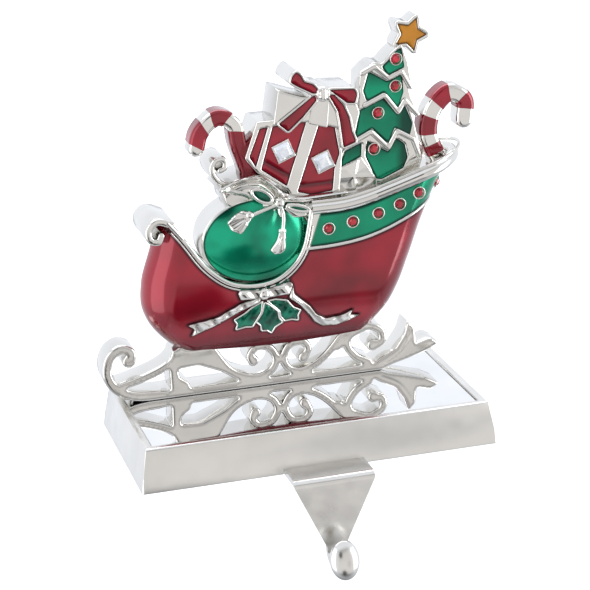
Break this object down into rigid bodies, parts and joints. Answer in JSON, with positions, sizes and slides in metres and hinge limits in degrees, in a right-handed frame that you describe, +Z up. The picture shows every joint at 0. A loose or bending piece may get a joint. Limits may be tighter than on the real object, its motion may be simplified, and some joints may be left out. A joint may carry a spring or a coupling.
{
  "type": "mantel stocking holder",
  "caption": "Stocking holder for a mantel: plated sleigh loaded with gifts and a tree, enamel cells, on a mirrored block with a hook over the shelf edge.",
  "frame": {"origin": "middle of the block's underside, where it rests on the shelf", "axes": "+X to the right seen from the front, +Y to the back, +Z up; the hook hangs below the origin in front of the shelf"},
  "size_m": [0.1672, 0.1082, 0.2092],
  "materials": {
    "polished_nickel": "bright nickel plate over cast metal",
    "mirror": "silvered mirror",
    "felt": "thin non-slip felt",
    "steel": "plated steel screws",
    "red_enamel": "glossy translucent red enamel",
    "green_enamel": "glossy translucent green enamel",
    "amber_enamel": "glossy amber enamel",
    "red_stone": "faceted red glass stone",
    "clear_crystal": "faceted clear glass crystal"
  },
  "bodies": {
    "root": {"base_casting": "polished_nickel", "mirror_plate": "mirror", "base_pad": "felt", "hook_bracket": "polished_nickel", "hook_screws": "steel", "figure_screws": "steel", "figure_casting": "polished_nickel", "body_red_enamel": "red_enamel", "band_green_enamel": "green_enamel", "holly_green_enamel": "green_enamel", "sack_green_enamel": "green_enamel", "tie_green_enamel": "green_enamel", "star_yellow_enamel": "amber_enamel", "tree_green_enamel": "green_enamel", "gift_red_enamel": "red_enamel", "bow_red_enamel": "red_enamel", "left_cane_red_enamel": "red_enamel", "right_cane_red_enamel": "red_enamel", "band_stones": "red_stone", "tree_stones": "red_stone", "gift_crystals": "clear_crystal"}
  },
  "joints": []
}
